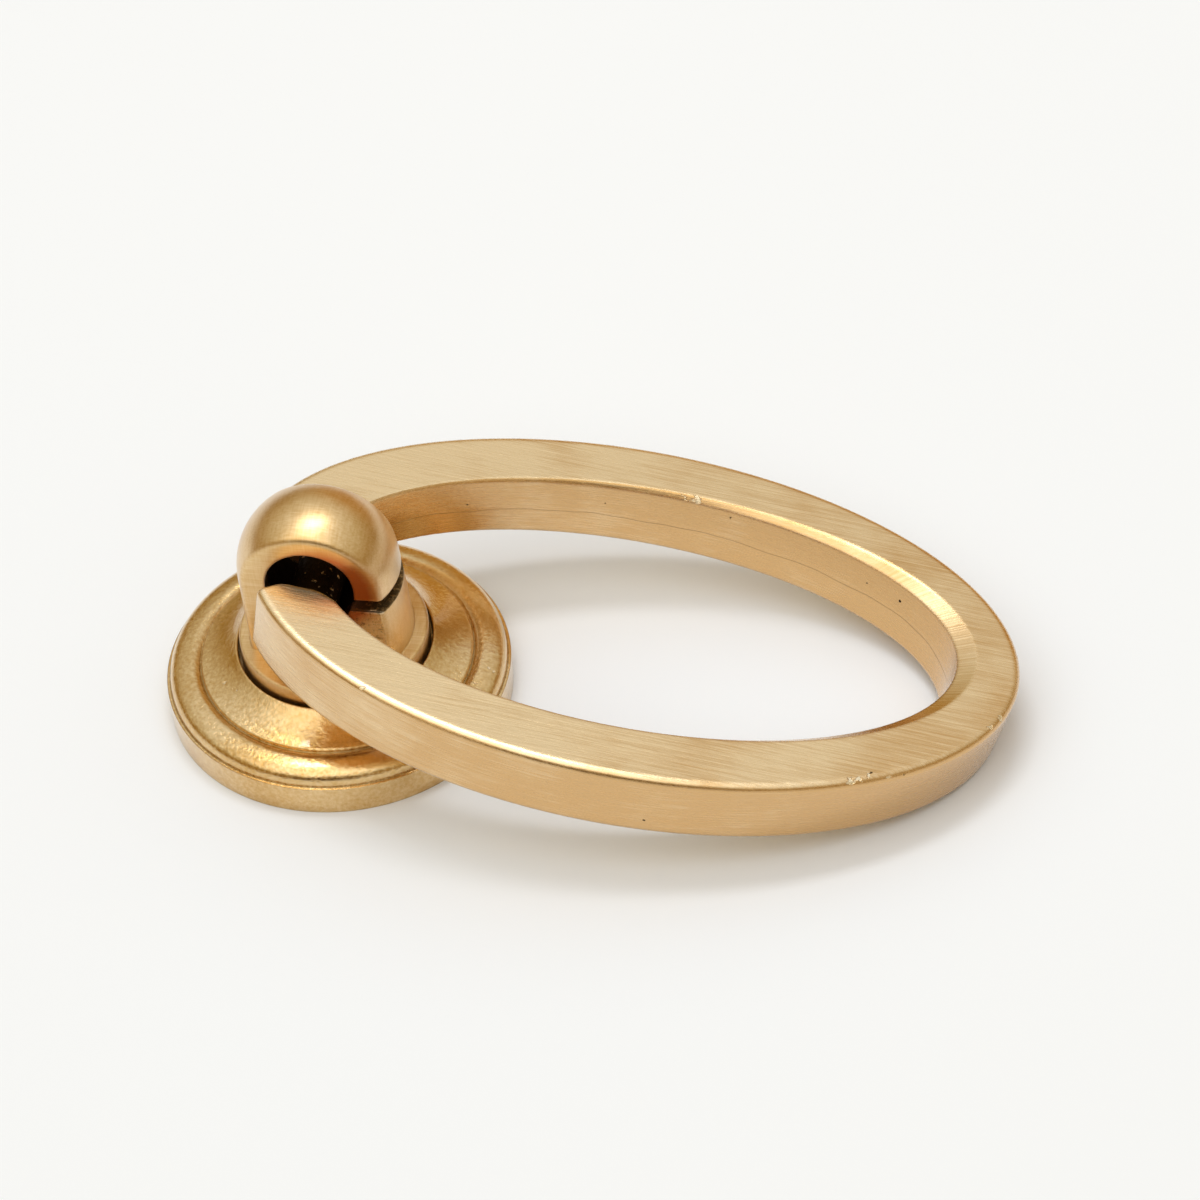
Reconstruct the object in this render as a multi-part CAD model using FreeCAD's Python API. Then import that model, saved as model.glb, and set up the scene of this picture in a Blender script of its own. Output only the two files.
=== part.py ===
"""Ring pull handle: a stepped round rosette, a hook-headed post and an oval drop ring.

Millimetres. The back of the rosette is z = 0 and its centre is the origin. The ring lies
towards +X with its far end on the plane of the back, as it does on a shelf or against a
drawer front.
"""
import FreeCAD
import Part

import os
from math import acos, atan2, cos, degrees, hypot, pi, radians, sin, tan

vec = FreeCAD.Vector
axis_y = vec(0, 1, 0)
axis_z = vec(0, 0, 1)

# Rosette
rosette_radius = 16.0
band_height = 2.95          # plain upright edge
band_ledge = 0.30           # the round starts this far inside the edge
round_width = 3.05          # the round, from its outer foot to the step
round_rise = 1.70           # its crest above the edge
round_fall = 0.35           # from its crest down to the foot of the step
round_crest = 0.55          # where the crest lies across the round, as a share of its width
step_rise = 0.50            # small upright step inside the round
step_nose = 0.22            # radius of the step's top corner
terrace_top = 6.45          # height of the terrace at its inner edge
terrace_hollow = 0.22       # how far the terrace's face dips below a straight cone
terrace_nose = 0.20         # radius of the terrace's inner corner
seat_clearance = 0.28       # between the post's foot and the rosette's seat
seat_height = 2.20          # floor that the post's foot stands on
back_recess_depth = 1.20    # cast relief on the back
back_recess_inner = 9.0
back_recess_outer = 13.6

# Post
foot_radius = 8.75
foot_rise = 1.50            # shelf at the top of the foot, above the terrace
foot_nose = 0.20
stem_radius = 7.65          # at the shelf
stem_shift = -0.15          # the stem's foot off the rosette's centre
spigot_radius = 5.0
flat_half = 3.80            # half the thickness left between the two flats
head_radius = 7.45
head_over_pin = 1.80        # centre of the ball head above the ring's pin
head_lean = 3.0             # degrees that the stem and head lean back from the ring
lip_below_pin = 0.25        # lower lip of the hook's mouth
mouth_gap = 1.45
head_edge = 0.70            # rounding where the ball head meets the flats
screw_hole_radius = 1.65    # M4 tapping size
screw_hole_depth = 8.0      # full-width depth
drill_point = 0.95          # cone that the drill leaves past that depth

# Eye through the head, along Y
eye_radius = 4.10
eye_rise = 0.50             # centre of its arch above the head's centre

# Ring
ring_length = 71.15         # outside, along the ring
ring_width = 41.1           # outside, across it
ring_thickness = 6.90
band_end = 6.60             # width of the band at its two ends, on the lower face
band_side = 5.80            # width of the band at its sides
ring_edge = 0.45            # rounding of the band's long edges
top_outer_edge = 0.65       # the same on its upper outer edge
wall_lean = 0.35            # the opening's upper rim lies this far towards the far end
wall_side_lean = 0.36       # and this far to one side
wall_turn = 1.4             # degrees that it is turned
wall_flare = 0.43           # its half length is greater than the lower rim's by this
bevel_post = 0.15           # width of the filed bevel round it, at the post
bevel_side = 0.35           # at the sides
bevel_end = 1.60            # at the far end
bevel_post_depth = 0.15     # how far down the wall it reaches, at the post
bevel_end_depth = 0.65      # at the far end
ring_turn = 0.20            # degrees that the band sits askew to its pin
toe_inset = 1.05            # the outer wall leans in this far down to the foot of the far end
seam_ridge = 0.12           # the inner wall stands proud by this at its middle
end_gap = 5.30              # the ring's ends stand this far from its middle plane
end_outer_flat = 3.00       # the end face is straight this far out from the pin's axis
end_outer_slope = 38.0      # degrees that its outer part leans back
end_outer_round = 2.00      # round between the two
end_inner_flat = 0.60       # the same on the side of the opening
end_inner_slope = 26.0
end_inner_round = 3.00
end_edge = 0.30             # rounding of the end faces' edges
pin_radius = 2.30
pin_clearance = 0.05        # between the pin and the floor of the eye
pin_shift = -0.60           # the pin's place along X
pin_inset = 6.75            # from the band's outer edge to the pin, along the ring
pin_root = 0.60             # how far the pin runs into each end
ring_tilt = 9.95            # degrees below level when the far end touches z = 0
ring_slide = 0.46           # the ring lies this far along its pin, off the middle

os.makedirs("parts", exist_ok=True)


def polygon_face(edges):
    """A face from edges that meet end to end."""
    return Part.Face(Part.Wire(Part.__sortEdges__(edges)))


def line(start, end):
    return Part.LineSegment(start, end).toShape()


def arc(start, middle, end):
    return Part.Arc(start, middle, end).toShape()


def at(radius, height):
    """A point of a turned profile, in the XZ plane."""
    return vec(radius, 0, height)


def turned(edges):
    """The solid that a closed profile in the XZ plane sweeps about Z."""
    return polygon_face(edges).revolve(vec(0, 0, 0), axis_z, 360)


def quarter_arc(start, corner, end):
    """The round that replaces a square corner between start and end."""
    center = start + end - corner
    middle = center + (corner - center) * 0.70710678
    return arc(start, middle, end)


def edges_where(shape, test):
    """The edges whose sample points all pass the test."""
    found = []
    for edge in [e for e in shape.Edges if not e.Degenerated]:
        points = edge.discretize(5)
        if all(test(point) for point in points):
            found.append(edge)
    return found


def make_rosette():
    seat_radius = foot_radius + seat_clearance
    round_start = rosette_radius - band_ledge
    step_radius = round_start - round_width
    crest_radius = round_start - round_width * round_crest
    crest_height = band_height + round_rise
    step_foot = crest_height - round_fall
    step_top = step_foot + step_rise

    band_top = at(rosette_radius, band_height)
    round_foot = at(round_start, band_height)
    crest = at(crest_radius, crest_height)
    foot = at(step_radius, step_foot)
    outer_round = Part.BSplineCurve()
    outer_round.interpolate(
        [round_foot, at(round_start - 0.28 * (round_start - crest_radius),
                        band_height + 0.72 * round_rise), crest, foot],
        InitialTangent=vec(0, 0, 1), FinalTangent=vec(-0.75, 0, -0.66))

    nose_start = at(step_radius, step_top - step_nose)
    nose_end = at(step_radius - step_nose, step_top)
    inner_nose_start = at(seat_radius + terrace_nose, terrace_top)
    inner_nose_end = at(seat_radius, terrace_top - terrace_nose)
    terrace_middle = (nose_end + inner_nose_start) * 0.5 - axis_z * terrace_hollow

    profile = [
        line(at(spigot_radius, 0), at(back_recess_inner, 0)),
        line(at(back_recess_inner, 0), at(back_recess_inner, back_recess_depth)),
        line(at(back_recess_inner, back_recess_depth), at(back_recess_outer, back_recess_depth)),
        line(at(back_recess_outer, back_recess_depth), at(back_recess_outer, 0)),
        line(at(back_recess_outer, 0), at(rosette_radius, 0)),
        line(at(rosette_radius, 0), band_top),
        line(band_top, round_foot),
        outer_round.toShape(),
        line(foot, nose_start),
        quarter_arc(nose_start, at(step_radius, step_top), nose_end),
        arc(nose_end, terrace_middle, inner_nose_start),
        quarter_arc(inner_nose_start, at(seat_radius, terrace_top), inner_nose_end),
        line(inner_nose_end, at(seat_radius, seat_height)),
        line(at(seat_radius, seat_height), at(spigot_radius, seat_height)),
        line(at(spigot_radius, seat_height), at(spigot_radius, 0)),
    ]
    return turned(profile)


def foot_height():
    return terrace_top + foot_rise


def pin_height():
    """Height of the pin's axis, which lets the round at the ring's far end touch z = 0."""
    tilt = radians(ring_tilt)
    flare = atan2(toe_inset, ring_thickness)
    reach = ring_length - pin_inset - toe_inset - ring_edge * tan(pi / 4 - flare / 2)
    drop = ring_thickness / 2 - ring_edge
    return reach * sin(tilt) + drop * cos(tilt) + ring_edge


def head_height():
    return pin_height() + head_over_pin


def lip_height():
    return pin_height() - lip_below_pin


def make_foot():
    """Foot of the post with its spigot. Its top is the shelf that the stem stands on."""
    shelf = foot_height()
    nose_start = at(foot_radius, shelf - foot_nose)
    nose_end = at(foot_radius - foot_nose, shelf)
    return turned([
        line(at(0, 0), at(spigot_radius, 0)),
        line(at(spigot_radius, 0), at(spigot_radius, seat_height)),
        line(at(spigot_radius, seat_height), at(foot_radius, seat_height)),
        line(at(foot_radius, seat_height), nose_start),
        quarter_arc(nose_start, at(foot_radius, shelf), nose_end),
        line(nose_end, at(0, shelf)),
        line(at(0, shelf), at(0, 0)),
    ])


def make_shank():
    """Stem and ball head in one run, with the two flats and their softened edges."""
    bottom = foot_height() - seat_height
    drop = head_height() - bottom
    reach = hypot(stem_radius, drop)
    touch = acos(head_radius / reach) - atan2(drop, stem_radius)
    tangent = at(head_radius * cos(touch), head_height() + head_radius * sin(touch))
    halfway = (touch + pi / 2) / 2
    shoulder = at(head_radius * cos(halfway), head_height() + head_radius * sin(halfway))
    top = at(0, head_height() + head_radius)
    shank = turned([
        line(at(0, bottom), at(stem_radius, bottom)),
        line(at(stem_radius, bottom), tangent),
        arc(tangent, shoulder, top),
        line(top, at(0, bottom)),
    ])
    size = 2 * (head_height() + head_radius)
    for side in (-1, 1):
        start = flat_half if side > 0 else -flat_half - size
        shank = shank.cut(Part.makeBox(size, size, size, vec(-size / 2, start, bottom)))

    def on_flat_rim(p):
        return abs(abs(p.y) - flat_half) < 0.001

    def above_bottom(edge):
        return edge.BoundBox.ZMax > bottom + 0.1
    rim = [edge for edge in edges_where(shank, on_flat_rim) if above_bottom(edge)]
    shank = shank.makeFillet(head_edge, rim)
    shank.rotate(at(0, foot_height()), axis_y, -head_lean)
    shank.translate(vec(stem_shift, 0, 0))
    return shank


def eye_face(y):
    """The eye's outline: upright sides between two half rounds."""
    left = pin_shift - eye_radius
    right = pin_shift + eye_radius
    low = pin_height() - pin_radius - pin_clearance + eye_radius
    high = head_height() + eye_rise
    return polygon_face([
        line(vec(left, y, low), vec(left, y, high)),
        arc(vec(left, y, high), vec(pin_shift, y, high + eye_radius), vec(right, y, high)),
        line(vec(right, y, high), vec(right, y, low)),
        arc(vec(right, y, low), vec(pin_shift, y, low - eye_radius), vec(left, y, low)),
    ])


def make_post():
    reach = 2 * stem_radius
    post = make_foot().fuse(make_shank())
    mouth = Part.makeBox(reach, 2 * reach, mouth_gap, vec(pin_shift, -reach, lip_height()))
    eye = eye_face(-reach).extrude(vec(0, 2 * reach, 0))
    hole = turned([
        line(at(0, 0), at(screw_hole_radius, 0)),
        line(at(screw_hole_radius, 0), at(screw_hole_radius, screw_hole_depth)),
        line(at(screw_hole_radius, screw_hole_depth), at(0, screw_hole_depth + drill_point)),
        line(at(0, screw_hole_depth + drill_point), at(0, 0)),
    ])
    for space in (mouth, eye, hole):
        post = post.cut(space)
    return post.removeSplitter()


def ellipse_wire(center_x, half_length, half_width, z, center_y=0.0, turn=0.0, dip=0.0):
    """An ellipse turned about Z, its +X end dipped below level, both in degrees."""
    center = vec(center_x, center_y, z)
    wire = Part.Wire([Part.Ellipse(center, half_length, half_width).toShape()])
    wire.rotate(center, axis_z, turn)
    wire.rotate(center, axis_y, dip)
    return wire


def closed_prism(points, low, height):
    """An upright prism over a closed outline of (x, y) points."""
    corners = [vec(x, y, low) for x, y in points]
    edges = [line(corners[i - 1], corners[i]) for i in range(len(corners))]
    return polygon_face(edges).extrude(axis_z * height)


def end_cutter():
    """What the gap at the post takes out of the band: its ends slope back and are rounded."""
    rise = ring_width / 20
    outer_run = rise / tan(radians(end_outer_slope))
    inner_run = rise / tan(radians(end_inner_slope))
    side = [
        (-end_outer_flat - outer_run - pin_inset, end_gap + rise),
        (-end_outer_flat - outer_run, end_gap + rise),
        (-end_outer_flat, end_gap),
        (end_inner_flat, end_gap),
        (end_inner_flat + inner_run, end_gap + rise),
    ]
    points = side + [(x, -y) for x, y in reversed(side)]
    cutter = closed_prism(points, -ring_thickness, 2 * ring_thickness)

    for x, radius in ((-end_outer_flat, end_outer_round), (end_inner_flat, end_inner_round)):
        def on_corner(p):
            return abs(p.x - x) < 0.001 and abs(abs(p.y) - end_gap) < 0.001
        cutter = cutter.makeFillet(radius, edges_where(cutter, on_corner))
    return cutter


def sharp_on(shape, tool):
    """The sharp edges that a cutting tool's walls leave on a shape."""
    walls = tool.Shells[0]
    found = []
    for edge in [e for e in shape.Edges if not e.Degenerated]:
        samples = [Part.Vertex(point) for point in edge.discretize(7)]
        if any(walls.distToShape(sample)[0] > 0.0001 for sample in samples):
            continue
        middle = edge.valueAt((edge.FirstParameter + edge.LastParameter) / 2)
        normals = []
        for face in shape.ancestorsOfType(edge, Part.Face):
            u, v = face.Surface.parameter(middle)
            normals.append(face.normalAt(u, v))
        if len(normals) == 2 and normals[0].getAngle(normals[1]) > 0.1:
            found.append(edge)
    return found


def bevel_cutter(center, half_length, half_width, top):
    """Cuts the bevel round an opening of this upper rim. Its foot stays clear of the wall."""
    past = 1.25
    wider = (bevel_end + bevel_post) / 2
    shift = (bevel_end - bevel_post) / 2
    depth = past * (bevel_end_depth + bevel_post_depth) / 2
    fall = past * (bevel_end_depth - bevel_post_depth) / 2
    foot_length = half_length + (1 - past) * wider
    foot_width = half_width + (1 - past) * bevel_side
    dip = degrees(atan2(fall, foot_length))
    foot = ellipse_wire(center + (1 - past) * shift, foot_length, foot_width, top - depth,
                        wall_side_lean, wall_turn, dip)
    rim = ellipse_wire(center + shift, half_length + wider, half_width + bevel_side, top,
                       wall_side_lean, wall_turn)
    return Part.makeLoft([foot, rim], True, True)


def make_ring():
    """The band lies level about the pin's axis here, and is tilted into place at the end."""
    half = ring_thickness / 2
    center = ring_length / 2 - pin_inset
    inner_length = ring_length / 2 - band_end
    inner_width = ring_width / 2 - band_side
    top_length = inner_length + wall_flare

    outer_foot = ellipse_wire(center - toe_inset / 2, (ring_length - toe_inset) / 2,
                              ring_width / 2, -half)
    outer_top = ellipse_wire(center, ring_length / 2, ring_width / 2, half)
    band = Part.makeLoft([outer_foot, outer_top], True, True)

    low = ellipse_wire(center, inner_length, inner_width, -half)
    seam = ellipse_wire(center + wall_lean / 2, inner_length + wall_flare / 2 - seam_ridge,
                        inner_width - seam_ridge, 0, wall_side_lean / 2, wall_turn / 2)
    high = ellipse_wire(center + wall_lean, top_length, inner_width, half,
                        wall_side_lean, wall_turn)
    band = band.cut(Part.makeLoft([low, seam], True, True))
    band = band.cut(Part.makeLoft([seam, high], True, True))

    def on_lower_face(p):
        return abs(p.z + half) < 0.001

    def on_top_outer(p):
        place = ((p.x - center) / (ring_length / 2)) ** 2 + (p.y / (ring_width / 2)) ** 2
        return abs(p.z - half) < 0.001 and abs(place - 1) < 0.001
    band = band.makeFillet(ring_edge, edges_where(band, on_lower_face))
    band = band.makeFillet(top_outer_edge, edges_where(band, on_top_outer))
    bevel = bevel_cutter(center + wall_lean, top_length, inner_width, half)
    for shape in (band, bevel):
        shape.rotate(vec(0, 0, 0), axis_z, ring_turn)

    cutter = end_cutter()
    band = band.cut(cutter)
    band = band.makeFillet(end_edge, sharp_on(band, cutter)).cut(bevel)

    pin_length = 2 * (end_gap + pin_root)
    pin = Part.makeCylinder(pin_radius, pin_length, vec(0, -pin_length / 2, 0), axis_y)
    ring = band.fuse(pin)
    ring.rotate(vec(0, 0, 0), axis_y, ring_tilt)
    ring.translate(vec(pin_shift, ring_slide, pin_height()))
    return ring


def export(shape, name):
    solid = shape.Solids[0] if len(shape.Solids) == 1 else shape
    print(name, "solids", len(shape.Solids), "valid", shape.isValid(),
          "volume", round(shape.Volume, 2), "box", shape.BoundBox)
    solid.exportStep(os.path.join("parts", name + ".step"))


export(make_rosette(), "rosette")
export(make_post(), "post")
export(make_ring(), "ring")
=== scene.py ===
import math
import bpy
from mathutils import Matrix, Vector

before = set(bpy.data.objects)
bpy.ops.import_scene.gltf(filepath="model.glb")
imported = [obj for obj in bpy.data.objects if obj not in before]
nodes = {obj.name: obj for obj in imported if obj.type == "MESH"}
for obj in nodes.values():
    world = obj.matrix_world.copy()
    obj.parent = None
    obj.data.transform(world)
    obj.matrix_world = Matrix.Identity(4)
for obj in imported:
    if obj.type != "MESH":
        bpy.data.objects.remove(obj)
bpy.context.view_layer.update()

mm = 0.001


def fromHex(text):
    # sRGB hex to the linear colour that the shaders take
    channels = [int(text[i:i + 2], 16) / 255 for i in (1, 3, 5)]
    linear = [c / 12.92 if c <= 0.04045 else ((c + 0.055) / 1.055) ** 2.4 for c in channels]
    return (*linear, 1.0)


def addNode(tree, kind, settings=None, links=None, **attributes):
    # settings go to the input sockets, links are (input, other node, its output)
    node = tree.nodes.new(kind)
    for name, value in attributes.items():
        setattr(node, name, value)
    for name, value in (settings or {}).items():
        node.inputs[name].default_value = value
    for name, other, output in (links or []):
        tree.links.new(other.outputs[output], node.inputs[name])
    return node


def newMaterial(name):
    material = bpy.data.materials.new(name)
    material.use_nodes = True
    tree = material.node_tree
    tree.nodes.clear()
    return material, tree


def dress(node, material):
    mesh = nodes[node].data
    if mesh.materials:
        for i in range(len(mesh.materials)):
            nodes[node].material_slots[i].material = material
    else:
        mesh.materials.append(material)


def within(tree, place, spots):
    # 1 at any of the spots and 0 beyond their radii; a spot is (x, y, z, radius) in mm
    ragged = addNode(tree, "ShaderNodeTexNoise", {"Scale": 1 / (0.35 * mm), "Detail": 3.0},
                     [("Vector", place, 0)])
    total = None
    for x, y, z, radius in spots:
        away = addNode(tree, "ShaderNodeVectorMath", {1: (x * mm, y * mm, z * mm)},
                       [(0, place, 0)], operation="DISTANCE")
        uneven = addNode(tree, "ShaderNodeMath", {1: 4 * radius * mm},
                         [(0, ragged, "Fac"), (2, away, "Value")], operation="MULTIPLY_ADD")
        mask = addNode(tree, "ShaderNodeMapRange",
                       {"From Min": 2.8 * radius * mm, "From Max": 2.3 * radius * mm},
                       [("Value", uneven, "Value")])
        if total:
            total = addNode(tree, "ShaderNodeMath", None,
                            [(0, total, 0), (1, mask, "Result")], operation="MAXIMUM")
        else:
            total = mask
    return total


def band(tree, value, output, lowEdge, highEdge, soft):
    # 1 where the value lies between the edges, with soft shoulders
    rise = addNode(tree, "ShaderNodeMapRange", {"From Min": lowEdge - soft, "From Max": lowEdge + soft},
                   [("Value", value, output)])
    fall = addNode(tree, "ShaderNodeMapRange", {"From Min": highEdge + soft, "From Max": highEdge - soft},
                   [("Value", value, output)])
    return addNode(tree, "ShaderNodeMath", None, [(0, rise, "Result"), (1, fall, "Result")],
                   operation="MULTIPLY")


def finishBrass(tree, metal, lines, marks, grain, dirtAndShade, shine, amberShade=None):
    # one brass for all three castings: tone, patina and painted shade, amber painted shade and bright wear
    # over brushing and casting grain
    coord = addNode(tree, "ShaderNodeTexCoord")
    cloud = addNode(tree, "ShaderNodeTexNoise", {"Scale": 1 / (brass["cloud"] * mm), "Detail": 3.0},
                    [("Vector", coord, "Object")])
    mixed = addNode(tree, "ShaderNodeMath", {1: 1.2}, [(0, lines, 0), (2, cloud, "Fac")],
                    operation="MULTIPLY_ADD")
    share = addNode(tree, "ShaderNodeMapRange", {"From Min": 0.82, "From Max": 1.38},
                    [("Value", mixed, "Value")])
    tone = addNode(tree, "ShaderNodeMix", {6: fromHex(metal["deep"]), 7: fromHex(metal["light"])},
                   [("Factor", share, "Result")], data_type="RGBA")
    worn = addNode(tree, "ShaderNodeMix", {7: fromHex(brass["worn"])},
                   [("Factor", shine, 0), (6, tone, 2)], data_type="RGBA")
    if amberShade:
        worn = addNode(tree, "ShaderNodeMix", {7: fromHex(brass["amberShade"])},
                       [("Factor", amberShade, 0), (6, worn, 2)], data_type="RGBA")
    aged = addNode(tree, "ShaderNodeMix", {7: fromHex(brass["patinaAndShade"])},
                   [("Factor", dirtAndShade, 0), (6, worn, 2)], data_type="RGBA")
    smooth, coarse = metal["roughness"]
    rough = addNode(tree, "ShaderNodeMapRange",
                    {"From Min": 0.3, "From Max": 0.7, "To Min": smooth, "To Max": coarse},
                    [("Value", marks, 0)])
    dulled = addNode(tree, "ShaderNodeMath", {1: 0.3}, [(0, dirtAndShade, 0), (2, rough, "Result")],
                     operation="MULTIPLY_ADD")
    lineDepth, grainDepth = metal["depth"]
    edge = addNode(tree, "ShaderNodeBevel", {"Radius": metal["edge"] * mm}, samples=4)
    lineBump = addNode(tree, "ShaderNodeBump", {"Strength": 1.0, "Distance": lineDepth * mm},
                       [("Height", lines, 0), ("Normal", edge, "Normal")])
    grainBump = addNode(tree, "ShaderNodeBump", {"Strength": 1.0, "Distance": grainDepth * mm},
                        [("Height", grain, 0), ("Normal", lineBump, "Normal")])
    cuts = addNode(tree, "ShaderNodeMath", {1: -1.0}, [(0, shine, 0)], operation="MULTIPLY")
    dents = addNode(tree, "ShaderNodeBump", {"Strength": 1.0, "Distance": 0.06 * mm},
                    [("Height", cuts, 0), ("Normal", grainBump, "Normal")])
    clean = addNode(tree, "ShaderNodeMapRange", {"To Min": brass["lacquer"], "To Max": 0.0},
                    [("Value", dirtAndShade, 0)])
    shader = addNode(tree, "ShaderNodeBsdfPrincipled",
                     {"Metallic": 1.0, "Coat Roughness": metal["lacquerRoughness"]},
                     [("Base Color", aged, 2), ("Roughness", dulled, "Value"),
                      ("Coat Weight", clean, "Result"), ("Normal", dents, "Normal")])
    addNode(tree, "ShaderNodeOutputMaterial", None, [("Surface", shader, "BSDF")])


# Solid brass, cast, polished and clear lacquered: warm gold that mirrors the room softly,
# deeper in tone where the lacquer is thick, and where shade is painted
brass = {
    "worn": "#F6E2BC",             # bare bright metal in nicks and on torn edges
    "amberShade": "#B25806",            # painted warm shade: deep amber round the eye
    "patinaAndShade": "#2A1A08",           # oxide in pits, cast hollows and on the parting line; also painted shade in the eye, the mouth, on the pin and in the rosette's grooves
    "lacquer": 1.0,                # share of clean metal that the lacquer covers
    "cloud": 7.0,                  # mm across a patch of thicker lacquer
    # mm between brush marks; the grit leaves about 0.05, drawn coarser to show in the render
    "brushWidth": 0.16,
    "scratchWidth": 0.45,          # mm across a stray scratch
    "speckle": 0.38,               # mm across a casting speckle
}

# Ring: cast brass, belt-brushed and lacquered; fine hairlines draw its highlights out along
# the band, under the clearer sheen of the lacquer
ringCast = {
    "light": "#F3D7A8",            # belt-brushed metal where the lacquer is thin
    "deep": "#D8AD70",             # the same metal under thicker lacquer, also used as painted shade toward the far end
    "roughness": (0.22, 0.32),
    "depth": (0.013, 0.010),       # mm, of brush marks and casting grain
    "lacquerRoughness": 0.18,
    "edge": 0.45,                  # mm, polished rounding of the edges
    "pin": (-0.6, 0.46, 14.284),   # mm, the pin's middle
    "tilt": 9.95,                  # degrees that the ring hangs below level
    "middle": 28.83,               # mm from the pin to the middle of the oval
    "halfLength": 30.0,
    "halfWidth": 15.1,
    "nicks": [(50.9, -15.6, 3.32, 0.45), (51.6, -15.1, 3.40, 0.3), (52.4, -14.5, 3.40, 0.3),
              (54.3, -14.0, 3.2, 0.22), (63.05, -4.5, 3.34, 0.35), (62.3, -5.9, 3.39, 0.3),
              (32.1, 15.4, 3.2, 0.5), (31.0, 15.5, 3.2, 0.35), (6.8, -15.9, 3.26, 0.3)],
    "pits": [(23.8, 14.7, 1.16, 0.16), (49.0, 11.3, 0.94, 0.16), (35.5, 14.9, 2.25, 0.18),
             (52.3, 9.55, 1.2, 0.14), (33.6, -20.2, -1.84, 0.13), (11.4, 11.75, 0.5, 0.14),
             (52.6, -14.2, 3.42, 0.2), (55.6, -13.4, 3.1, 0.16), (18.0, -19.0, -1.0, 0.12)],
    "seam": -0.35,                 # mm, the parting line on the opening's wall
}


def ringBrass():
    material, tree = newMaterial("satin brushed brass of the ring")
    coord = addNode(tree, "ShaderNodeTexCoord")
    tilt = math.radians(ringCast["tilt"])
    place = addNode(tree, "ShaderNodeMapping",
                    {"Location": [c * mm for c in ringCast["pin"]], "Rotation": (0, tilt, 0)},
                    [("Vector", coord, "Object")], vector_type="TEXTURE")
    axes = addNode(tree, "ShaderNodeSeparateXYZ", None, [("Vector", place, "Vector")])
    up = addNode(tree, "ShaderNodeVectorMath", {1: (math.sin(tilt), 0, math.cos(tilt))},
                 [(0, coord, "Normal")], operation="DOT_PRODUCT")
    level = addNode(tree, "ShaderNodeMath", None, [(0, up, "Value")], operation="ABSOLUTE")
    onTop = addNode(tree, "ShaderNodeMapRange", {"From Min": 0.6, "From Max": 0.85},
                    [("Value", level, "Value")])

    # Belt marks run along the ring on its faces and round it on its walls
    belt = addNode(tree, "ShaderNodeMapping", {"Rotation": (0, 0, math.radians(-1)), "Scale": (40, 1, 1)},
                   [("Vector", place, "Vector")], vector_type="TEXTURE")
    width = brass["brushWidth"] * mm
    faceLines = addNode(tree, "ShaderNodeTexNoise", {"Scale": 1 / width, "Detail": 3.0, "Roughness": 0.7},
                        [("Vector", belt, "Vector")])
    across = addNode(tree, "ShaderNodeMath", {1: 1 / (ringCast["halfWidth"] * mm)}, [(0, axes, "Y")],
                     operation="MULTIPLY")
    along = addNode(tree, "ShaderNodeMath", {1: 1 / (ringCast["halfLength"] * mm),
                                             2: -ringCast["middle"] / ringCast["halfLength"]},
                    [(0, axes, "X")], operation="MULTIPLY_ADD")
    turn = addNode(tree, "ShaderNodeMath", None, [(0, across, 0), (1, along, 0)], operation="ARCTAN2")
    slow = addNode(tree, "ShaderNodeMath", {1: 1.0 * mm}, [(0, turn, 0)], operation="MULTIPLY")
    wallSpot = addNode(tree, "ShaderNodeCombineXYZ", None, [("X", slow, 0), ("Z", axes, "Z")])
    wallLines = addNode(tree, "ShaderNodeTexNoise", {"Scale": 1 / width, "Detail": 3.0, "Roughness": 0.7},
                        [("Vector", wallSpot, "Vector")])
    lines = addNode(tree, "ShaderNodeMix", None,
                    [(0, onTop, "Result"), (2, wallLines, "Fac"), (3, faceLines, "Fac")])

    # File marks cross the bevel at the far end
    quick = addNode(tree, "ShaderNodeMath", {1: ringCast["halfWidth"] * mm}, [(0, turn, 0)],
                    operation="MULTIPLY")
    fileSpot = addNode(tree, "ShaderNodeCombineXYZ", None, [("X", quick, 0)])
    fileLines = addNode(tree, "ShaderNodeTexNoise", {"Scale": 1 / (0.2 * mm), "Detail": 3.0},
                        [("Vector", fileSpot, "Vector")])
    slope = band(tree, level, "Value", 0.70, 0.965, 0.02)
    farEnd = addNode(tree, "ShaderNodeMapRange", {"From Min": 44 * mm, "From Max": 54 * mm},
                     [("Value", axes, "X")])
    inner = addNode(tree, "ShaderNodeVectorMath", None, [(0, place, 0)], operation="LENGTH")
    inside = addNode(tree, "ShaderNodeMapRange", {"From Min": 60.6 * mm, "From Max": 60.2 * mm},
                     [("Value", inner, "Value")])
    filed = addNode(tree, "ShaderNodeMath", None, [(0, slope, 0), (1, farEnd, "Result")],
                    operation="MULTIPLY")
    filedInside = addNode(tree, "ShaderNodeMath", None, [(0, filed, 0), (1, inside, "Result")],
                          operation="MULTIPLY")
    marks = addNode(tree, "ShaderNodeMix", None,
                    [(0, filedInside, 0), (2, lines, 0), (3, fileLines, "Fac")])

    # Long stray scratches on the faces
    strayCoord = addNode(tree, "ShaderNodeMapping",
                         {"Rotation": (0, 0, math.radians(-4)), "Scale": (22, 1, 1)},
                         [("Vector", place, "Vector")], vector_type="TEXTURE")
    stray = addNode(tree, "ShaderNodeTexNoise", {"Scale": 1 / (brass["scratchWidth"] * mm), "Detail": 1.0},
                    [("Vector", strayCoord, "Vector")])
    scratch = band(tree, stray, "Fac", 0.655, 0.675, 0.012)
    faceScratch = addNode(tree, "ShaderNodeMath", None, [(0, scratch, 0), (1, onTop, "Result")],
                          operation="MULTIPLY")
    scored = addNode(tree, "ShaderNodeMath", {1: 0.12}, [(0, faceScratch, 0), (2, marks, 0)],
                     operation="MULTIPLY_ADD")
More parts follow.
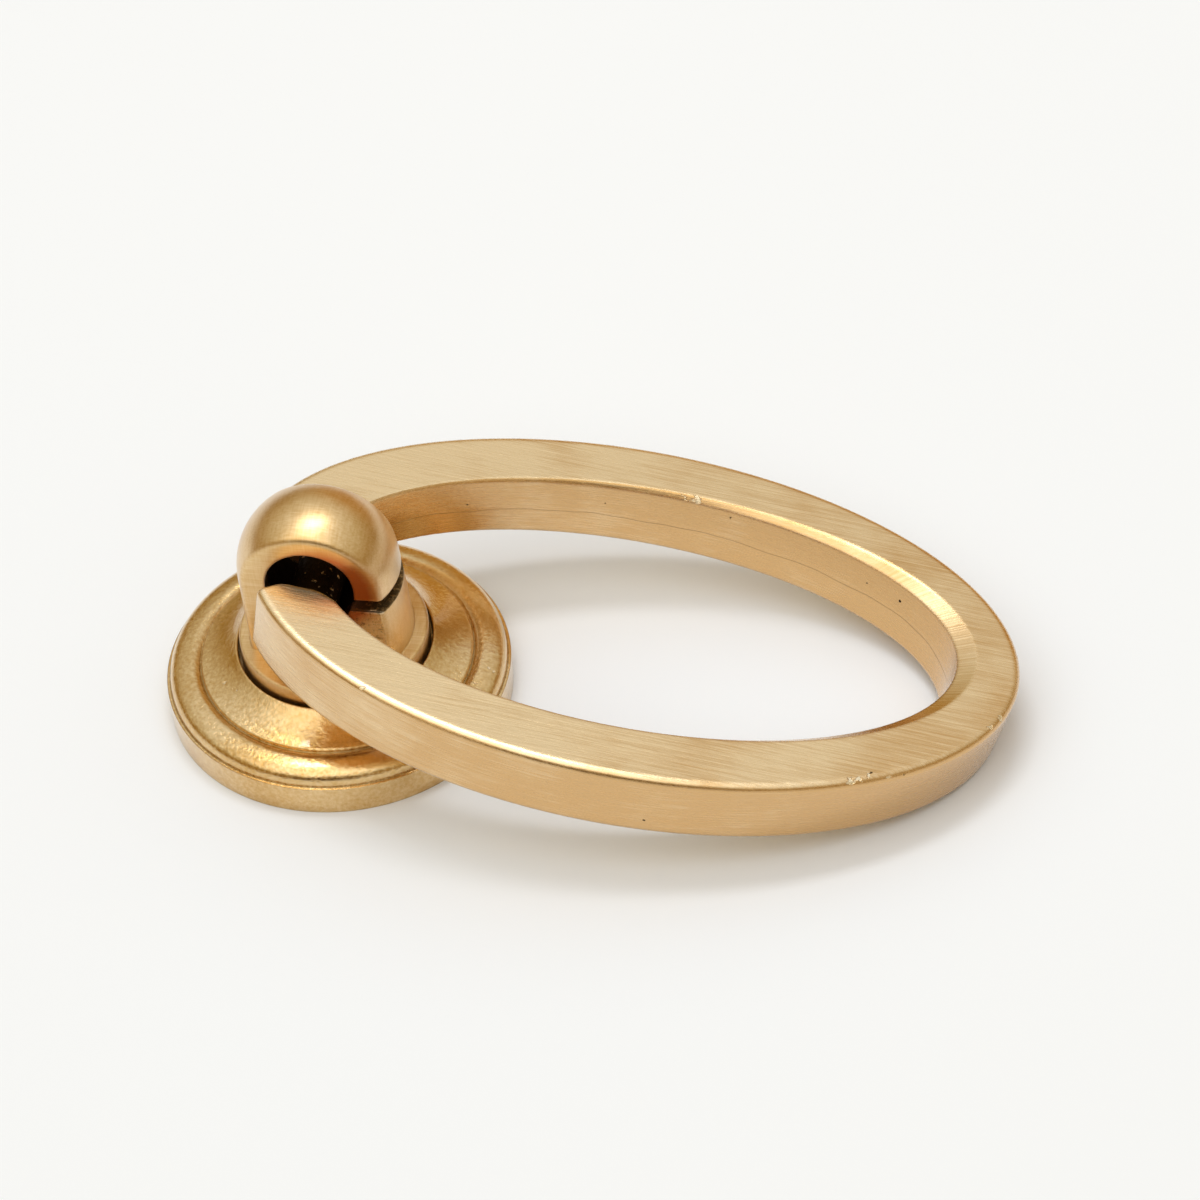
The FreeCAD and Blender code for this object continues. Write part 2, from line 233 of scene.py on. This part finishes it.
    # the walls kept more lacquer than the rubbed faces; painted shade deepens the tone toward the far end
    streaks = addNode(tree, "ShaderNodeMath", {1: 0.4, 2: -0.3}, [(0, onTop, "Result")],
                      operation="MULTIPLY_ADD")
    farShade = addNode(tree, "ShaderNodeMath", {1: -0.18, 2: 0.05}, [(0, along, 0)],
                   operation="MULTIPLY_ADD")
    streaks = addNode(tree, "ShaderNodeMath", None, [(0, streaks, 0), (1, scored, 0)], operation="ADD")
    streaks = addNode(tree, "ShaderNodeMath", None, [(0, streaks, 0), (1, farShade, 0)], operation="ADD")

    grain = addNode(tree, "ShaderNodeTexNoise", {"Scale": 1 / (0.5 * mm), "Detail": 3.0},
                    [("Vector", place, "Vector")])

    # The pin stays as cast; painted shade darkens it, leaving light specks of the casting
    fromAxis = addNode(tree, "ShaderNodeCombineXYZ", None, [("X", axes, "X"), ("Z", axes, "Z")])
    pinAway = addNode(tree, "ShaderNodeVectorMath", None, [(0, fromAxis, 0)], operation="LENGTH")
    nearPin = addNode(tree, "ShaderNodeMapRange", {"From Min": 2.6 * mm, "From Max": 2.4 * mm},
                      [("Value", pinAway, "Value")])
    middle = addNode(tree, "ShaderNodeMath", None, [(0, axes, "Y")], operation="ABSOLUTE")
    between = addNode(tree, "ShaderNodeMapRange", {"From Min": 5.6 * mm, "From Max": 5.0 * mm},
                      [("Value", middle, "Value")])
    pin = addNode(tree, "ShaderNodeMath", None, [(0, nearPin, "Result"), (1, between, "Result")],
                  operation="MULTIPLY")
    speck = addNode(tree, "ShaderNodeMapRange", {"From Min": 0.70, "From Max": 0.64},
                    [("Value", grain, "Fac")])
    pinShade = addNode(tree, "ShaderNodeMath", None, [(0, pin, 0), (1, speck, "Result")],
                      operation="MULTIPLY")

    waver = addNode(tree, "ShaderNodeTexNoise", {"Scale": 1 / (5 * mm), "Detail": 1.0},
                    [("Vector", place, "Vector")])
    seamHeight = addNode(tree, "ShaderNodeMath", {1: -0.9 * mm}, [(0, waver, "Fac"), (2, axes, "Z")],
                         operation="MULTIPLY_ADD")
    seamMiddle = (ringCast["seam"] - 0.45) * mm
    seam = band(tree, seamHeight, 0, seamMiddle - 0.04 * mm, seamMiddle + 0.04 * mm, 0.03 * mm)
    wall = addNode(tree, "ShaderNodeMapRange", {"From Min": 0.3, "From Max": 0.2},
                   [("Value", level, "Value")])
    squareX = addNode(tree, "ShaderNodeMath", {1: 2.0}, [(0, along, 0)], operation="POWER")
    squareSum = addNode(tree, "ShaderNodeMath", None,
                        [(0, across, 0), (1, across, 0), (2, squareX, 0)], operation="MULTIPLY_ADD")
    onOpening = addNode(tree, "ShaderNodeMapRange", {"From Min": 1.15, "From Max": 1.1},
                        [("Value", squareSum, 0)])
    seamWall = addNode(tree, "ShaderNodeMath", None, [(0, seam, 0), (1, wall, "Result")],
                       operation="MULTIPLY")
    seamLine = addNode(tree, "ShaderNodeMath", None, [(0, seamWall, 0), (1, onOpening, "Result")],
                       operation="MULTIPLY")

    pits = within(tree, place, ringCast["pits"])
    seamDirt = addNode(tree, "ShaderNodeMath", {1: 0.45}, [(0, seamLine, 0), (2, pits, 0)],
                       operation="MULTIPLY_ADD")
    nicks = within(tree, place, ringCast["nicks"])
    dirtAndShade = addNode(tree, "ShaderNodeMath", None, [(0, seamDirt, 0), (1, pinShade, 0)],
                   operation="MAXIMUM")
    pinGrain = addNode(tree, "ShaderNodeMath", {1: 9.0, 2: 1.0}, [(0, pin, 0)],
                       operation="MULTIPLY_ADD")
    grainAll = addNode(tree, "ShaderNodeMath", None, [(0, grain, "Fac"), (1, pinGrain, 0)],
                       operation="MULTIPLY")
    finishBrass(tree, ringCast, streaks, marks, grainAll, dirtAndShade, nicks)
    return material


# Post: cast brass, cross-brushed by hand and lacquered; a broad dull highlight on the ball,
# amber painted shade round the eye and black painted shade inside it
postCast = {
    "light": "#EBCB96",
    "deep": "#D3A75F",
    "roughness": (0.29, 0.40),
    "depth": (0.014, 0.010),
    "lacquerRoughness": 0.28,
    "edge": 0.3,
    "eye": (-0.6, 0.0, 16.3),      # mm, middle of the eye
    "eyeRadius": 4.42,
    "amber": (5.6, 4.4),           # mm from the eye's middle: where amber begins, where it is full
    "lip": 14.03,                  # mm, lower lip of the mouth
    "flat": 3.8,                   # mm from the middle to each flat
}


def postBrass():
    material, tree = newMaterial("satin brushed brass of the post")
    coord = addNode(tree, "ShaderNodeTexCoord")
    axes = addNode(tree, "ShaderNodeSeparateXYZ", None, [("Vector", coord, "Object")])
    facing = addNode(tree, "ShaderNodeSeparateXYZ", None, [("Vector", coord, "Normal")])
    width = brass["brushWidth"] * mm
    level = addNode(tree, "ShaderNodeMapping", {"Scale": (16, 1, 1)}, [("Vector", coord, "Object")],
                    vector_type="TEXTURE")
    steep = addNode(tree, "ShaderNodeMapping", {"Scale": (1, 12, 12)}, [("Vector", coord, "Object")],
                    vector_type="TEXTURE")
    levelLines = addNode(tree, "ShaderNodeTexNoise", {"Scale": 1 / width, "Detail": 2.0},
                         [("Vector", level, "Vector")])
    steepLines = addNode(tree, "ShaderNodeTexNoise", {"Scale": 1 / width, "Detail": 2.0},
                         [("Vector", steep, "Vector")])
    lines = addNode(tree, "ShaderNodeMix", {0: 0.4}, [(2, levelLines, "Fac"), (3, steepLines, "Fac")])

    # As cast: the stub's flats, the mouth and the foot
    low = addNode(tree, "ShaderNodeMapRange",
                  {"From Min": (postCast["lip"] + 1.7) * mm, "From Max": (postCast["lip"] + 1.5) * mm},
                  [("Value", axes, "Z")])
    side = addNode(tree, "ShaderNodeMapRange", {"From Min": -1.0 * mm, "From Max": 0.5 * mm},
                   [("Value", axes, "X")])
    inwards = addNode(tree, "ShaderNodeMath", None, [(0, axes, "Y")], operation="ABSOLUTE")
    core = addNode(tree, "ShaderNodeMapRange",
                   {"From Min": (postCast["flat"] + 0.3) * mm, "From Max": (postCast["flat"] + 0.02) * mm},
                   [("Value", inwards, "Value")])
    aboveFoot = addNode(tree, "ShaderNodeMapRange", {"From Min": 8.1 * mm, "From Max": 8.8 * mm},
                        [("Value", axes, "Z")])
    castSide = addNode(tree, "ShaderNodeMath", None, [(0, low, "Result"), (1, side, "Result")],
                       operation="MULTIPLY")
    castLow = addNode(tree, "ShaderNodeMath", None, [(0, castSide, 0), (1, aboveFoot, "Result")],
                      operation="MULTIPLY")
    sideways = addNode(tree, "ShaderNodeMath", None, [(0, facing, "X")], operation="ABSOLUTE")
    notRound = addNode(tree, "ShaderNodeMapRange", {"From Min": 0.35, "From Max": 0.15},
                       [("Value", sideways, "Value")])
    castFace = addNode(tree, "ShaderNodeMath", None, [(0, castLow, 0), (1, notRound, "Result")],
                       operation="MULTIPLY")
    cast = addNode(tree, "ShaderNodeMath", None, [(0, castFace, 0), (1, core, "Result")],
                   operation="MULTIPLY")
    lump = addNode(tree, "ShaderNodeTexNoise", {"Scale": 1 / (0.55 * mm), "Detail": 4.0, "Roughness": 0.7},
                   [("Vector", coord, "Object")])
    heavy = addNode(tree, "ShaderNodeMath", {1: 14.0, 2: 1.0}, [(0, cast, 0)], operation="MULTIPLY_ADD")
    grain = addNode(tree, "ShaderNodeMath", None, [(0, lump, "Fac"), (1, heavy, 0)], operation="MULTIPLY")

    # Painted shade: the eye's bore is painted dark, left bright only near its front and back edges
    fromEye = addNode(tree, "ShaderNodeVectorMath", {1: [c * mm for c in postCast["eye"]]},
                      [(0, coord, "Object")], operation="SUBTRACT")
    across = addNode(tree, "ShaderNodeVectorMath", {1: (1, 0, 1)}, [(0, fromEye, 0)], operation="MULTIPLY")
    away = addNode(tree, "ShaderNodeVectorMath", None, [(0, across, 0)], operation="LENGTH")
    bore = addNode(tree, "ShaderNodeMapRange",
                   {"From Min": (postCast["eyeRadius"] + 0.06) * mm, "From Max": postCast["eyeRadius"] * mm},
                   [("Value", away, "Value")])
    rag = addNode(tree, "ShaderNodeTexNoise", {"Scale": 1 / (1.2 * mm), "Detail": 4.0, "Roughness": 0.7},
                  [("Vector", coord, "Object")])
    reach = addNode(tree, "ShaderNodeMath", {1: 1.6 * mm}, [(0, rag, "Fac"), (2, inwards, 0)],
                    operation="MULTIPLY_ADD")
    deep = addNode(tree, "ShaderNodeMapRange", {"From Min": 3.75 * mm, "From Max": 3.45 * mm},
                   [("Value", reach, "Value")])
    boreShade = addNode(tree, "ShaderNodeMath", None, [(0, bore, "Result"), (1, deep, "Result")],
                    operation="MULTIPLY")
    # Painted shadow: the slit of the mouth is painted near black, with lighter specks
    mouth = band(tree, axes, "Z", (postCast["lip"] - 0.02) * mm, (postCast["lip"] + 1.46) * mm, 0.03 * mm)
    gap = addNode(tree, "ShaderNodeMath", None, [(0, mouth, 0), (1, side, "Result")],
                  operation="MULTIPLY")
    fromStem = addNode(tree, "ShaderNodeVectorMath", {1: (1, 1, 0)}, [(0, coord, "Object")],
                       operation="MULTIPLY")
    stemAway = addNode(tree, "ShaderNodeVectorMath", None, [(0, fromStem, 0)], operation="LENGTH")
    gapReach = addNode(tree, "ShaderNodeMath", {1: 1.2 * mm}, [(0, rag, "Fac"), (2, stemAway, "Value")],
                       operation="MULTIPLY_ADD")
    gapInside = addNode(tree, "ShaderNodeMapRange", {"From Min": 8.1 * mm, "From Max": 7.6 * mm,
                                                     "To Max": 0.92},
                        [("Value", gapReach, "Value")])
    gapSpeck = addNode(tree, "ShaderNodeMapRange", {"From Min": 0.62, "From Max": 0.52, "To Min": 0.45},
                       [("Value", lump, "Fac")])
    gapEven = addNode(tree, "ShaderNodeMath", None, [(0, gap, 0), (1, gapInside, "Result")],
                      operation="MULTIPLY")
    gapShade = addNode(tree, "ShaderNodeMath", None, [(0, gapEven, 0), (1, gapSpeck, "Result")],
                      operation="MULTIPLY")
    hollows = addNode(tree, "ShaderNodeMapRange", {"From Min": 0.46, "From Max": 0.36, "To Max": 0.5},
                      [("Value", lump, "Fac")])
    castDirt = addNode(tree, "ShaderNodeMath", None, [(0, hollows, "Result"), (1, cast, 0)],
                       operation="MULTIPLY")
    dark = addNode(tree, "ShaderNodeMath", None, [(0, boreShade, 0), (1, castDirt, 0)], operation="MAXIMUM")
    dirtAndShade = addNode(tree, "ShaderNodeMath", None, [(0, dark, 0), (1, gapShade, 0)], operation="MAXIMUM")

    # Painted warm shade: amber round the eye, deepest on the side of the mouth
    eyeX = addNode(tree, "ShaderNodeSeparateXYZ", None, [("Vector", fromEye, 0)])
    lean = addNode(tree, "ShaderNodeMath", {1: -0.22}, [(0, eyeX, "X"), (2, away, "Value")],
                   operation="MULTIPLY_ADD")
    leanRag = addNode(tree, "ShaderNodeMath", {1: 0.5 * mm}, [(0, rag, "Fac"), (2, lean, 0)],
                      operation="MULTIPLY_ADD")
    start, full = postCast["amber"]
    amber = addNode(tree, "ShaderNodeMapRange",
                    {"From Min": start * mm, "From Max": full * mm, "To Max": 0.95},
                    [("Value", leanRag, 0)])
    amberShade = addNode(tree, "ShaderNodeMath", None, [(0, amber, "Result"), (1, core, "Result")],
                    operation="MULTIPLY")

    # A torn bright rim along the lip of the mouth
    lipSpot = addNode(tree, "ShaderNodeVectorMath", {1: (0, -postCast["flat"] * mm, postCast["lip"] * mm)},
                      [(0, coord, "Object")], operation="SUBTRACT")
    lipFlat = addNode(tree, "ShaderNodeVectorMath", {1: (0, 1, 1)}, [(0, lipSpot, 0)], operation="MULTIPLY")
    lipAway = addNode(tree, "ShaderNodeVectorMath", None, [(0, lipFlat, 0)], operation="LENGTH")
    lipRag = addNode(tree, "ShaderNodeMath", {1: -0.4 * mm}, [(0, lump, "Fac"), (2, lipAway, "Value")],
                     operation="MULTIPLY_ADD")
    torn = addNode(tree, "ShaderNodeMapRange", {"From Min": 0.08 * mm, "From Max": -0.02 * mm},
                   [("Value", lipRag, 0)])
    lip = addNode(tree, "ShaderNodeMath", None, [(0, torn, "Result"), (1, side, "Result")],
                  operation="MULTIPLY")
    finishBrass(tree, postCast, lines, lines, grain, dirtAndShade, lip, amberShade)
    return material


# Rosette: cast brass, polished without brushing and lacquered; the orange-peel skin of the
# casting breaks the mirrored room into soft warm patches
rosetteCast = {
    "light": "#EBCC96",
    "deep": "#CFA256",
    "roughness": (0.16, 0.24),
    "depth": (0.001, 0.045),
    "lacquerRoughness": 0.08,
    "edge": 0.25,
    "grooves": [(12.66, 4.3, 0.07), (15.72, 2.96, 0.04)],   # mm: radius, height, width
    "nicks": [(-7.92, -6.8, 5.62, 0.16), (-9.31, -5.78, 5.34, 0.2), (-5.33, -13.17, 4.6, 0.12),
              (14.42, -0.59, 4.54, 0.16), (14.92, -0.86, 4.35, 0.14), (13.52, -2.76, 4.69, 0.18),
              (-8.4, -6.6, 5.55, 0.12)],
}


def rosetteBrass():
    material, tree = newMaterial("lacquered cast brass of the rosette")
    coord = addNode(tree, "ShaderNodeTexCoord")
    axes = addNode(tree, "ShaderNodeSeparateXYZ", None, [("Vector", coord, "Object")])
    flatSpot = addNode(tree, "ShaderNodeVectorMath", {1: (1, 1, 0)}, [(0, coord, "Object")],
                       operation="MULTIPLY")
    radius = addNode(tree, "ShaderNodeVectorMath", None, [(0, flatSpot, 0)], operation="LENGTH")
    speckle = addNode(tree, "ShaderNodeTexNoise",
                      {"Scale": 1 / (brass["speckle"] * mm), "Detail": 5.0, "Roughness": 0.62},
                      [("Vector", coord, "Object")])
    wave = addNode(tree, "ShaderNodeTexNoise", {"Scale": 1 / (1.7 * mm), "Detail": 2.0},
                   [("Vector", coord, "Object")])
    grain = addNode(tree, "ShaderNodeMath", {1: 0.9}, [(0, wave, "Fac"), (2, speckle, "Fac")],
                    operation="MULTIPLY_ADD")

    # Painted shade: thin dark lines along the rosette's two grooves, standing in for shade in the creases
    dirtAndShade = None
    for distance, height, width in rosetteCast["grooves"]:
        ring = band(tree, radius, "Value", (distance - width) * mm, (distance + width) * mm, 0.04 * mm)
        near = band(tree, axes, "Z", (height - 0.25) * mm, (height + 0.25) * mm, 0.1 * mm)
        groove = addNode(tree, "ShaderNodeMath", None, [(0, ring, 0), (1, near, 0)], operation="MULTIPLY")
        if dirtAndShade:
            dirtAndShade = addNode(tree, "ShaderNodeMath", None, [(0, dirtAndShade, 0), (1, groove, 0)],
                           operation="MAXIMUM")
        else:
            dirtAndShade = groove
    grooveShade = addNode(tree, "ShaderNodeMath", {1: 0.35}, [(0, dirtAndShade, 0)], operation="MULTIPLY")
    # within() reads the first output of a node, which here has to be the place on the piece
    objectSpot = addNode(tree, "ShaderNodeVectorMath", {1: (1, 1, 1)}, [(0, coord, "Object")],
                         operation="MULTIPLY")
    nicks = within(tree, objectSpot, rosetteCast["nicks"])
    finishBrass(tree, rosetteCast, speckle, speckle, grain, grooveShade, nicks)
    return material


dress("rosette", rosetteBrass())
dress("post", postBrass())
dress("ring", ringBrass())
print("brass on rosette, post and ring")

studio = {
    "floorColor": "#F0F4FA",
    "sky": [(0.0, "#624812"), (0.25, "#735A22"), (0.5, "#938E7C"), (0.74, "#A0A09D"), (0.88, "#A8AAAD"),
            (1.0, "#AEB0B3")],
    # direction, colour and the cosines at which a patch of the room begins and is full
    "patches": [((0.22, 0.97, 0.07), "#84601E", 0.82, 0.97),      # warm room behind
                ((-0.14, -0.42, 0.89), "#E8E5DE", 0.80, 0.94),    # bright ceiling in front
                ((0.0, -0.97, 0.22), "#35250A", 0.90, 0.96)],     # dark room in front, low down
    "skyStrength": 2.14,
    "boxPlace": (-0.04, 0.16, 0.78),
    "boxSize": (0.36, 0.12),
    "boxPower": 1.32,
    "cameraPlace": (0.11099, -0.35178, 0.37354),
    "cameraRight": (0.98316, 0.16945, -0.06838),
    "cameraUp": (-0.07228, 0.70432, 0.70619),
    "cameraBack": (0.16783, -0.68936, 0.70471),
    "lens": 169.14,
}


def makeFloor():
    mesh = bpy.data.meshes.new("floor")
    size = 6.0
    mesh.from_pydata([(-size, -size, 0), (size, -size, 0), (size, size, 0), (-size, size, 0)],
                     [], [(0, 1, 2, 3)])
    floor = bpy.data.objects.new("floor", mesh)
    floor.location.z = -0.02 * mm
    bpy.context.scene.collection.objects.link(floor)
    # White board, matt painted: a pale ground that takes a soft shadow and mirrors nothing
    material, tree = newMaterial("matt white board")
    shader = addNode(tree, "ShaderNodeBsdfPrincipled",
                     {"Base Color": fromHex(studio["floorColor"]), "Roughness": 0.75})
    addNode(tree, "ShaderNodeOutputMaterial", None, [("Surface", shader, "BSDF")])
    mesh.materials.append(material)


def makeLight(name, place, target, size, power):
    light = bpy.data.lights.new(name, "AREA")
    light.shape = "RECTANGLE"
    light.size, light.size_y = size
    light.energy = power
    lamp = bpy.data.objects.new(name, light)
    lamp.location = place
    lamp.rotation_euler = (Vector(target) - Vector(place)).to_track_quat("-Z", "Y").to_euler()
    bpy.context.scene.collection.objects.link(lamp)


def makeCamera():
    camera = bpy.data.cameras.new("camera")
    camera.sensor_width = 36
    camera.lens = studio["lens"]
    holder = bpy.data.objects.new("camera", camera)
    turn = Matrix([studio["cameraRight"], studio["cameraUp"], studio["cameraBack"]]).transposed()
    holder.matrix_world = Matrix.Translation(studio["cameraPlace"]) @ turn.to_4x4()
    bpy.context.scene.collection.objects.link(holder)
    bpy.context.scene.camera = holder


def makeWorld():
    # a pale sky that is brightest overhead and dims to a warm room at the horizon
    world = bpy.data.worlds.new("studio")
    world.use_nodes = True
    tree = world.node_tree
    tree.nodes.clear()
    coord = addNode(tree, "ShaderNodeTexCoord")
    axes = addNode(tree, "ShaderNodeSeparateXYZ", None, [("Vector", coord, "Generated")])
    ramp = addNode(tree, "ShaderNodeValToRGB", None, [("Fac", axes, "Z")])
    stops = ramp.color_ramp.elements
    while len(stops) < len(studio["sky"]):
        stops.new(0.5)
    for stop, (height, color) in zip(stops, studio["sky"]):
        stop.position = height
        stop.color = fromHex(color)
    view, output = ramp, "Color"
    for side, color, start, full in studio["patches"]:
        toward = addNode(tree, "ShaderNodeVectorMath", {1: Vector(side).normalized()},
                         [(0, coord, "Generated")], operation="DOT_PRODUCT")
        share = addNode(tree, "ShaderNodeMapRange", {"From Min": start, "From Max": full},
                        [("Value", toward, "Value")])
        view = addNode(tree, "ShaderNodeMix", {7: fromHex(color)},
                       [("Factor", share, "Result"), (6, view, output)], data_type="RGBA")
        output = 2
    sky = addNode(tree, "ShaderNodeBackground", {"Strength": studio["skyStrength"]},
                  [("Color", view, output)])
    plain = addNode(tree, "ShaderNodeBackground", {"Color": fromHex("#FFFFFF"), "Strength": 1.0})
    path = addNode(tree, "ShaderNodeLightPath")
    both = addNode(tree, "ShaderNodeMixShader", None,
                   [("Fac", path, "Is Camera Ray"), (1, sky, 0), (2, plain, 0)])
    addNode(tree, "ShaderNodeOutputWorld", None, [("Surface", both, "Shader")])
    bpy.context.scene.world = world


makeFloor()
makeLight("softbox", studio["boxPlace"], (0.025, 0, 0.005), studio["boxSize"], studio["boxPower"])
makeCamera()
makeWorld()
bpy.context.scene.view_settings.view_transform = "Standard"
print("floor, light and camera")
